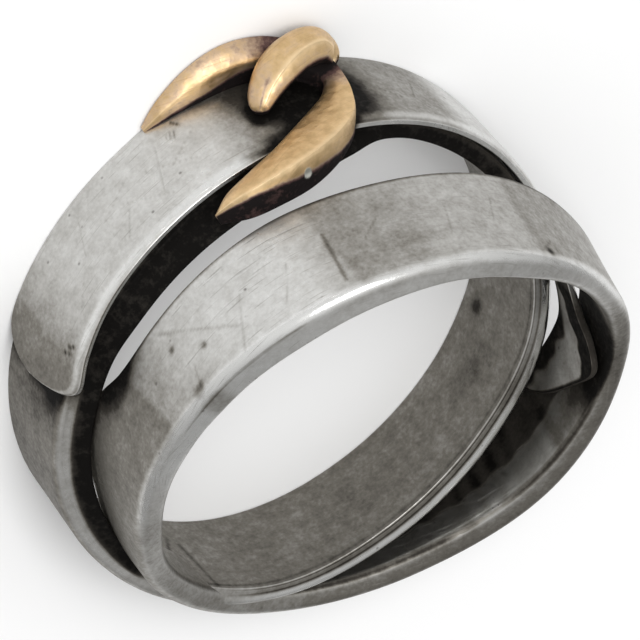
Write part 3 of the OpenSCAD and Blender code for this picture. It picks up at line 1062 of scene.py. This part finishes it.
def tongue_inside(angle, z, from_far, from_near):
    """The tongue is black along both edges, by uneven widths, and brighter between them."""
    far_width = FAR_BLACK + FAR_BLACK_WAVER * waver(angle * 4, z, seed=7)
    far_width = far_width * (1 - patch(angle, STRAP_PATCHES["tongue far shade"]))
    near_width = 1 + NEAR_BLACK_WAVER * waver(angle * 6, z, seed=8)
    near_width = NEAR_BLACK + patch(angle, STRAP_PATCHES["tongue near shade"]) * near_width
    edges = 1 - step(from_far, far_width, FAR_BLACK_SOFT)
    edges = edges + (1 - step(from_near, near_width, NEAR_BLACK_SOFT))
    uneven = TONGUE_WAVER * waver(angle * 5, z * 3, seed=9)
    return edges - TONGUE_BRIGHT - patch(angle, STRAP_PATCHES["tongue rim"]) + uneven


# %% Make the strap
def strap_strip():
    """As the bands. Its worn shoulder falls by the square of the way left to the near edge:
    depth * (1 - distance / width)^2. The gold's shade is added on the outside and the near edge."""
    rows = even_stations(STRAP_ROWS, STRAP_STATIONS, False)
    angle, r, z = strip_surface(rows, STRAP_R, STRAP_T, STRAP_ROUNDING)
    from_far, from_near = z - column(rows, Z_FAR), column(rows, Z_NEAR) - z
    tongue = patch(angle, STRAP_PATCHES["tongue"])
    shoulder = SHOULDER_DEPTH * np.clip(1 - from_near / SHOULDER_WIDTH, 0, 1) ** 2 * (1 - tongue)
    r = r + worn_in(angle, z, STRAP_WANDER, seed=3) - shoulder * IN_FACE["outside"]
    points = place(angle, r, z)
    wall_share = (r - STRAP_R - column(rows, OUT_NEAR)) / STRAP_T

    outside = OUTSIDE_DULL + round_ring(angle, STRAP_OUTSIDE) + spots(angle, z, r, STRAP_SPOTS)
    outside = outside - patch(from_near, STRAP_PATCHES["bright line"])
    outside = outside + near_gold(points, gold_limbs, *GOLD_SHADE["outside"])
    groove = patch(wall_share, STRAP_PATCHES["near groove share"])
    near = STRAP_NEAR + groove * patch(angle, STRAP_PATCHES["near groove"])
    near = near + near_gold(points, gold_limbs, *GOLD_SHADE["near"]) + TONGUE_NEAR * tongue
    inside = STRAP_INSIDE + tongue * tongue_inside(angle, z, from_far, from_near)
    oxide = np.maximum(IN_FACE["outside"] * outside, IN_FACE["near"] * near)
    oxide = np.maximum(oxide, IN_FACE["inside"] * inside)

    scar = marks(angle, z, r, STRAP_MARKS) * IN_FACE["outside"]
    corner = AT_CORNER * IN_FACE["outside"] * IN_FACE["near"] * (1 - tongue)
    oxide = oxide + STRAP_MARK_TARNISH * scar + CORNER_TARNISH * corner
    return skin("strap_strip", points, False, {"oxide": oxide, "scar": scar})


strap = strap_strip()

# %% [markdown]
# ## Shader maths as Python
#
# A finish is easier to read as an expression than as a chain of nodes. One small class wraps a
# socket: + - * / on it add the Math nodes, and one method adds any other node.


# %% The socket class
class Socket:
    """A shader value. Python's operators on it add Math nodes; make() adds any other node."""

    def __init__(self, tree, out=None):
        self.tree = tree
        self.out = out

    def make(self, kind, settings=None, inputs=None, take=0):
        """Adds a node: its settings first, then the values or links of its sockets."""
        node = self.tree.nodes.new(kind)
        for key, value in (settings or {}).items():
            if key == "stops":
                while len(node.color_ramp.elements) < len(value):
                    node.color_ramp.elements.new(0.5)
                for element, (place_at, colour) in zip(node.color_ramp.elements, value):
                    element.position = place_at
                    element.color = colour
            else:
                setattr(node, key, value)
        for key, value in (inputs or {}).items():
            if isinstance(value, Socket):
                self.tree.links.new(value.out, node.inputs[key])
            else:
                node.inputs[key].default_value = value
        return Socket(self.tree, node.outputs[take] if len(node.outputs) else None)

    def math(self, operation, a, b=0.0, clamp=False):
        settings = {"operation": operation, "use_clamp": clamp}
        return self.make("ShaderNodeMath", settings, {0: a, 1: b})

    def __add__(self, other):
        return self.math("ADD", self, other)

    def __sub__(self, other):
        return self.math("SUBTRACT", self, other)

    def __rsub__(self, other):
        return self.math("SUBTRACT", other, self)

    def __mul__(self, other):
        return self.math("MULTIPLY", self, other)

    __radd__ = __add__
    __rmul__ = __mul__

    def rise(self, low, high):
        """0 where the value is at low, 1 where it is at high, and straight between them."""
        return self.math("MULTIPLY", self - low, 1 / (high - low), clamp=True)

    def mix(self, a, b):
        """Colour a where this value is 0, and colour b where it is 1."""
        settings = {"data_type": "RGBA"}
        return self.make("ShaderNodeMix", settings, {0: self, 6: a, 7: b}, take=2)


def material_of(name):
    """An empty node material and its first socket to build from."""
    material = bpy.data.materials.new(name)
    material.use_nodes = True
    material.node_tree.nodes.clear()
    return material, Socket(material.node_tree)


print("a socket can:", ", ".join(name for name in vars(Socket) if name.isalpha()))

# %% [markdown]
# ## Scratches, pits and blotches
#
# Worn metal is never even. Hairline scratches run in a few directions, small pits sit here and
# there, and the tarnish comes and goes in soft blotches. The places are in millimetres, so that one
# scratch has the same width on every piece.

# %% The wear that all the metals share
# Scratches in four directions. Columns: turn in degrees, waves for each mm along and across, and
# the noise level where a scratch begins and where it is whole.
HAIRS = [
    (8, 0.35, 14, 0.67, 0.75), (58, 0.5, 11, 0.65, 0.73), (-35, 0.45, 12, 0.63, 0.71),
    (101, 0.6, 10, 0.65, 0.72),
]
# Soft patterns. Columns: waves for each mm, detail, roughness.
PATTERNS = {"blotch": (0.55, 6.0, 0.6), "grain": (7.0, 5.0, 0.6), "cloud": (2.2, 5.0, 0.6)}
# The noise of the scratches themselves, in the same columns.
HAIR_NOISE = (1.0, 2.0, 0.55)
# The range of the grain that makes the metal rougher.
FINE_GRAIN = (0.3, 0.7)
PITS_PER_MM = 1.1
# A pit is whole up to the first of these distances from its middle, and has ended at the second.
PIT_EDGE = (0.03, 0.09)


def worn_pattern(start):
    """The place in mm, and the values that the finishes mix, by name. The soft patterns lie round 0,
    and the hairs, the pits and the fine grain go from 0 to 1."""
    place_at = start.make("ShaderNodeTexCoord", take=3)
    mm = start.make("ShaderNodeVectorMath", {"operation": "SCALE"}, {0: place_at, 3: 1 / MM})
    flat = start.make("ShaderNodeUVMap", {"uv_map": "mm"})

    def noise(vector, scale, detail, rough):
        inputs = {"Vector": vector, "Scale": scale, "Detail": detail, "Roughness": rough}
        return start.make("ShaderNodeTexNoise", None, inputs)

    def hair(turn, along, over, low, high):
        """Noise on a map that is turned and stretched, kept only at its peaks: thin scratches."""
        vector = start.make("ShaderNodeMapping", None, {
            "Vector": flat, "Rotation": (0, 0, math.radians(turn)), "Scale": (along, over, 1),
        })
        return noise(vector, *HAIR_NOISE).rise(low, high)

    soft = {name: noise(mm, *row) for name, row in PATTERNS.items()}
    hairs = sum(hair(*row) for row in HAIRS)
    cells = start.make("ShaderNodeTexVoronoi", None, {"Vector": mm, "Scale": PITS_PER_MM})
    worn = {name: value - 0.5 for name, value in soft.items()}
    worn["fine grain"] = soft["grain"].rise(*FINE_GRAIN)
    worn["hairs"] = hairs.math("MINIMUM", hairs, 1.0)
    worn["pits"] = 1 - cells.rise(*PIT_EDGE)
    return mm, worn


def painted_values(start):
    """The values that were painted on the points, as sockets."""
    return {key: start.make("ShaderNodeAttribute", {"attribute_name": key}, take=2)
            for key in PAINTED}


print("scratches in", len(HAIRS), "directions, and patterns:", ", ".join(PATTERNS))


# %% The sum of many small parts
def weighted(first, values, weights):
    """The first value plus the sum of value * weight, for each name among the weights."""
    total = first
    for name, weight in weights.items():
        total = total + values[name] * weight
    return total


print("0.5 + 1 * 0.5 + 2 * 0.25 =", weighted(0.5, {"a": 1, "b": 2}, {"a": 0.5, "b": 0.25}))

# %% The surface of a metal
BUMP_DISTANCE = 1.2e-5


def metal_shader(start, colour, rough, metal, height, bump_strength, gloss):
    """The metal's surface with its bump. Height is in units of the bump's distance."""
    bump = start.make("ShaderNodeBump", None, {
        "Strength": bump_strength, "Distance": BUMP_DISTANCE, "Height": height,
    })
    shader = start.make("ShaderNodeBsdfPrincipled", None, {
        "Base Color": colour, "Roughness": rough, "Metallic": metal, "Normal": bump,
        "Specular IOR Level": gloss,
    })
    start.make("ShaderNodeOutputMaterial", None, {"Surface": shader})


print("bump for a height of 1, mm:", round(BUMP_DISTANCE / MM, 3))

# %% [markdown]
# ## Worn silver
#
# Clean silver is pale and mirrors what is round it. Its tarnish is a thin brown-black skin, which is
# dull. One ramp could colour it by noise alone, but then it would be dark in the wrong places. So the
# painted value says how thick the skin is, together with painted shade and light, and the patterns
# only break its edge.

# %% The silver's colours and wear
# The tarnish's colour from bare silver through a warm grey skin to black.
SILVER_STOPS = [
    (0.0, (0.66, 0.66, 0.645, 1)), (0.25, (0.44, 0.432, 0.412, 1)), (0.5, (0.20, 0.188, 0.165, 1)),
    (0.75, (0.045, 0.040, 0.034, 1)), (1.0, (0.004, 0.0035, 0.003, 1)),
]
SCRATCH_GREY = (0.30, 0.29, 0.27, 1)
PIT_GREY = (0.12, 0.11, 0.10, 1)
# How much of those two colours shows on bare silver.
SCRATCH_SHOWS, PIT_SHOWS = 0.5, 0.7
# How strongly each pattern breaks up the painted tarnish and shade, and how much tarnish polish and
# painted highlight take away.
SILVER_BREAKS = {"blotch": 0.2, "cloud": 0.26, "grain": 0.24}
SILVER_POLISH_AND_HIGHLIGHT = 0.28
# Depths of skin between which the bare metal is covered, and between which it stops mirroring, and
# how much of its mirror is lost in the end.
SILVER_COVERED = (0.4, 0.7)
MIRROR_LOST = (0.5, 1.0)
SILVER_MIRROR_LOSS = 0.95
# Roughness of clean silver, and what each kind of wear adds to it.
SILVER_ROUGH = 0.24
SILVER_ROUGHER = {"fine grain": 0.12, "skin": 0.32, "hairs": 0.12, "polish": -0.12}
# How high each kind of wear stands, in units of the bump's distance. Below 0 it is sunk.
SILVER_HEIGHTS = {"grain": 0.25, "cloud": 0.9, "hairs": -0.5, "pits": -0.8, "scar": -1.5}
print("roughness of black silver:", SILVER_ROUGH + SILVER_ROUGHER["skin"])


# %% The silver's finish
def worn_silver():
    """Skin depth is oxide + patterns - polish, from 0 to 1. It picks the colour from the ramp, adds
    roughness, and takes the metal's mirror away. Scratches and pits show only on bare silver."""
    material, start = material_of("worn_silver")
    _, worn = worn_pattern(start)
    worn.update(painted_values(start))
    broken = weighted(worn["oxide"], worn, SILVER_BREAKS) - worn["polish"] * SILVER_POLISH_AND_HIGHLIGHT
    worn["skin"] = broken.rise(0.0, 1.0)
    bare = 1 - worn["skin"].rise(*SILVER_COVERED)
    colour = start.make("ShaderNodeValToRGB", {"stops": SILVER_STOPS}, {0: broken})
    colour = (worn["hairs"] * bare * SCRATCH_SHOWS).mix(colour, SCRATCH_GREY)
    colour = (worn["pits"] * bare * PIT_SHOWS).mix(colour, PIT_GREY)
    rough = weighted(SILVER_ROUGH, worn, SILVER_ROUGHER)
    metal = 1 - worn["skin"].rise(*MIRROR_LOST) * SILVER_MIRROR_LOSS
    height = weighted(0.0, worn, SILVER_HEIGHTS)
    metal_shader(start, colour, rough, metal, height, bump_strength=0.5, gloss=0.06)
    print("silver nodes:", len(material.node_tree.nodes))
    return material


silver = worn_silver()

# %% [markdown]
# ## Worn gold
#
# The gold is pale and soft-edged, with a rosy tan skin where it is less rubbed and a purple-brown one
# in the hollows. It has no ramp of its own: each skin is mixed over the one below as the tarnish
# rises, so that all three can be seen side by side.

# %% The gold's colours and wear
# Clean gold is mixed of the first two colours, over this range of the cloud pattern.
GOLD_CLOUDS = (-0.15, 0.15)
GOLD_DEEP = (0.54, 0.375, 0.19, 1)
GOLD_PALE = (0.74, 0.53, 0.29, 1)
# The colour mixed in where the gold is polished, lighter than clean gold, as a painted highlight.
GOLD_POLISH_HIGHLIGHT = (0.90, 0.71, 0.46, 1)
GOLD_SCRATCH = (0.34, 0.20, 0.09, 1)
SOLDER_GREY = (0.42, 0.42, 0.38, 1)
# The skins, from the lowest. Columns: depths between which it closes, colour.
GOLD_SKINS = {
    "rosy tan": (0.02, 0.3, (0.52, 0.385, 0.27, 1)),
    "purple-brown": (0.25, 0.65, (0.13, 0.075, 0.068, 1)),
    "brown-black": (0.6, 0.95, (0.008, 0.006, 0.006, 1)),
}
# How strongly each pattern breaks up the painted tarnish and shade, and how much tarnish polish and
# painted highlight take away.
GOLD_BREAKS = {"blotch": 0.35, "cloud": 0.5, "grain": 0.35}
GOLD_POLISH_AND_HIGHLIGHT = 0.4
# A skin thinner than the first of these doesn't count.
GOLD_SKIN_DEPTHS = (0.05, 1.0)
# How much the scratch colour shows, and how much the polished colour with its painted highlight.
SCRATCH_ON_GOLD, POLISH_AND_HIGHLIGHT_ON_GOLD = 0.3, 0.5
# How much of its mirror is lost in the end.
GOLD_MIRROR_LOSS = 0.9
# Roughness of clean gold, and what each kind of wear adds to it.
GOLD_ROUGH = 0.34
GOLD_ROUGHER = {"fine grain": 0.12, "skin": 0.3, "hairs": 0.1}
# How high each kind of wear stands. The hammered dents are cells, with this many for each mm.
HAMMERED_PER_MM = 2.3
GOLD_HEIGHTS = {
    "grain": 0.5, "cloud": 2.0, "hammered": 3.0, "hairs": -0.3, "pits": -0.6, "scar": 1.5,
}
print("skins on the gold:", ", ".join(GOLD_SKINS))


# %% The gold's finish
def worn_gold():
    """Skin depth is made as on the silver, and each skin in turn is mixed over the colour so far."""
    material, start = material_of("worn_gold")
    mm, worn = worn_pattern(start)
    worn.update(painted_values(start))
    broken = weighted(worn["oxide"], worn, GOLD_BREAKS) - worn["polish"] * GOLD_POLISH_AND_HIGHLIGHT
    worn["skin"] = broken.rise(*GOLD_SKIN_DEPTHS)
    colour = worn["cloud"].rise(*GOLD_CLOUDS).mix(GOLD_DEEP, GOLD_PALE)
    colour = (worn["hairs"] * SCRATCH_ON_GOLD).mix(colour, GOLD_SCRATCH)
    for low, high, skin_colour in GOLD_SKINS.values():
        colour = worn["skin"].rise(low, high).mix(colour, skin_colour)
    colour = (worn["polish"] * POLISH_AND_HIGHLIGHT_ON_GOLD).mix(colour, GOLD_POLISH_HIGHLIGHT)
    colour = worn["scar"].mix(colour, SOLDER_GREY)
    rough = weighted(GOLD_ROUGH, worn, GOLD_ROUGHER)
    metal = 1 - worn["skin"].rise(*MIRROR_LOST) * GOLD_MIRROR_LOSS
    inputs = {"Vector": mm, "Scale": HAMMERED_PER_MM}
    worn["hammered"] = start.make("ShaderNodeTexVoronoi", None, inputs)
    height = weighted(0.0, worn, GOLD_HEIGHTS)
    metal_shader(start, colour, rough, metal, height, bump_strength=0.6, gloss=0.1)
    print("gold nodes:", len(material.node_tree.nodes))
    return material


gold = worn_gold()

# %% [markdown]
# ## Each piece takes its place
#
# A piece rides on the ring's one body, stands for its solid, and takes its metal.

# %% Dress the nodes
for piece, node, metal, slot_name in (
    (rear, "bands", silver, "silver"),
    (front, "bands", silver, "silver"),
    (strap, "strap", silver, "silver"),
    (crescent, "crescent", gold, "gold"),
    (loop, "loop", gold, "gold"),
):
    piece.data.materials.append(metal)
    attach(piece, "root")
    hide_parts(node)
    print(piece.name, "stands for", node)

# %% [markdown]
# ## Floor, light and camera
#
# The ring lies on its side on a white table. A wide soft light hangs over it, and the pale world
# fills the rest, because polished metal shows mostly what it mirrors.

# %% The table
TABLE_SIDE = 4
TABLE_WHITE = (0.9, 0.9, 0.9, 1)
TABLE_ROUGH = 0.9


def white_table():
    """A plane at the height of the ring's lowest edge."""
    bpy.ops.mesh.primitive_plane_add(size=TABLE_SIDE, location=(0, 0, 0))
    table = bpy.context.object
    table.name = "table"
    material, start = material_of("white_table")
    shader = start.make("ShaderNodeBsdfPrincipled", None, {
        "Base Color": TABLE_WHITE, "Roughness": TABLE_ROUGH,
    })
    start.make("ShaderNodeOutputMaterial", None, {"Surface": shader})
    table.data.materials.append(material)


white_table()
print("the table is", TABLE_SIDE, "m wide")


# %% The lights
def soft_light(name, azimuth, elevation, distance, size, power):
    """An area light at a distance in a direction, turned so that it shines at the ring."""
    data = bpy.data.lights.new(name, "AREA")
    data.shape = "SQUARE"
    data.size = size
    data.energy = power
    light = bpy.data.objects.new(name, data)
    a, e = math.radians(azimuth), math.radians(elevation)
    towards = Vector((math.cos(e) * math.cos(a), math.cos(e) * math.sin(a), math.sin(e)))
    light.location = towards * distance
    light.rotation_euler = towards.to_track_quat("Z", "Y").to_euler()
    bpy.context.scene.collection.objects.link(light)


soft_light("key", azimuth=118, elevation=54, distance=0.5, size=0.24, power=1.15)
print("lights:", [light.name for light in bpy.data.lights])

# %% The room
# Which way it is brightest, and how bright it is at its darkest and how much more at its brightest.
BRIGHT_SIDE = (-0.3, 0.81, 0.5)
ROOM_LEVEL = 0.4
ROOM_RISE = 0.6
# It rises while the direction's share of that side goes from the first of these to the second.
ROOM_SPREAD = (-0.7, 0.7)


def pale_room():
    """The world is brightest towards the light and darker behind: a smooth rise along one axis."""
    world = bpy.data.worlds.new("pale_room")
    world.use_nodes = True
    world.node_tree.nodes.clear()
    start = Socket(world.node_tree)
    direction = start.make("ShaderNodeTexCoord", take=0)
    inputs = {0: direction, 1: BRIGHT_SIDE}
    facing = start.make("ShaderNodeVectorMath", {"operation": "DOT_PRODUCT"}, inputs, take=1)
    level = ROOM_LEVEL + facing.rise(*ROOM_SPREAD) * ROOM_RISE
    background = start.make("ShaderNodeBackground", None, {"Color": (1, 1, 1, 1), "Strength": level})
    start.make("ShaderNodeOutputWorld", None, {"Surface": background})
    bpy.context.scene.world = world


pale_room()
bpy.context.scene.view_settings.view_transform = "Standard"
print("the room's brightness goes from", ROOM_LEVEL, "to", ROOM_LEVEL + ROOM_RISE)

# %% The camera
# The camera's direction was fitted to the photo's outlines: azimuth, elevation and roll in degrees,
# where the image's centre lies from the ring's origin in mm, and the scale in pixels per mm.
CAMERA_AZIMUTH = 131.68
CAMERA_ELEVATION = 44.03
CAMERA_ROLL = 137.51
CAMERA_DISTANCE = 900
IMAGE_SIDE = 640
PIXELS_PER_MM = 29.88
CENTRE_RIGHT = 2.247
CENTRE_UP = -0.513
# Width of the camera's sensor in mm, and how far it sees in metres.
SENSOR_WIDTH = 36
CLIP_END = 10


def photo_camera():
    """The view direction comes from azimuth and elevation, and the roll turns right and up in it."""
    az, el, roll = map(math.radians, (CAMERA_AZIMUTH, CAMERA_ELEVATION, CAMERA_ROLL))
    back = Vector((math.cos(el) * math.cos(az), math.cos(el) * math.sin(az), math.sin(el)))
    level = Vector((-math.sin(az), math.cos(az), 0))
    rise = back.cross(level)
    right = math.cos(roll) * level + math.sin(roll) * rise
    up = -math.sin(roll) * level + math.cos(roll) * rise
    data = bpy.data.cameras.new("photo_camera")
    data.sensor_width = SENSOR_WIDTH
    data.lens = PIXELS_PER_MM * CAMERA_DISTANCE * SENSOR_WIDTH / IMAGE_SIDE
    data.clip_end = CLIP_END
    camera = bpy.data.objects.new("photo_camera", data)
    spot = (back * CAMERA_DISTANCE + right * CENTRE_RIGHT + up * CENTRE_UP) * MM
    turn = Matrix((right, up, back)).transposed().to_4x4()
    camera.matrix_world = Matrix.Translation(spot) @ turn
    bpy.context.scene.collection.objects.link(camera)
    bpy.context.scene.camera = camera


photo_camera()
print("camera:", [round(c, 3) for c in bpy.context.scene.camera.matrix_world.translation], "m")

# %% [markdown]
# The visual model has to stay inside the solids' box.
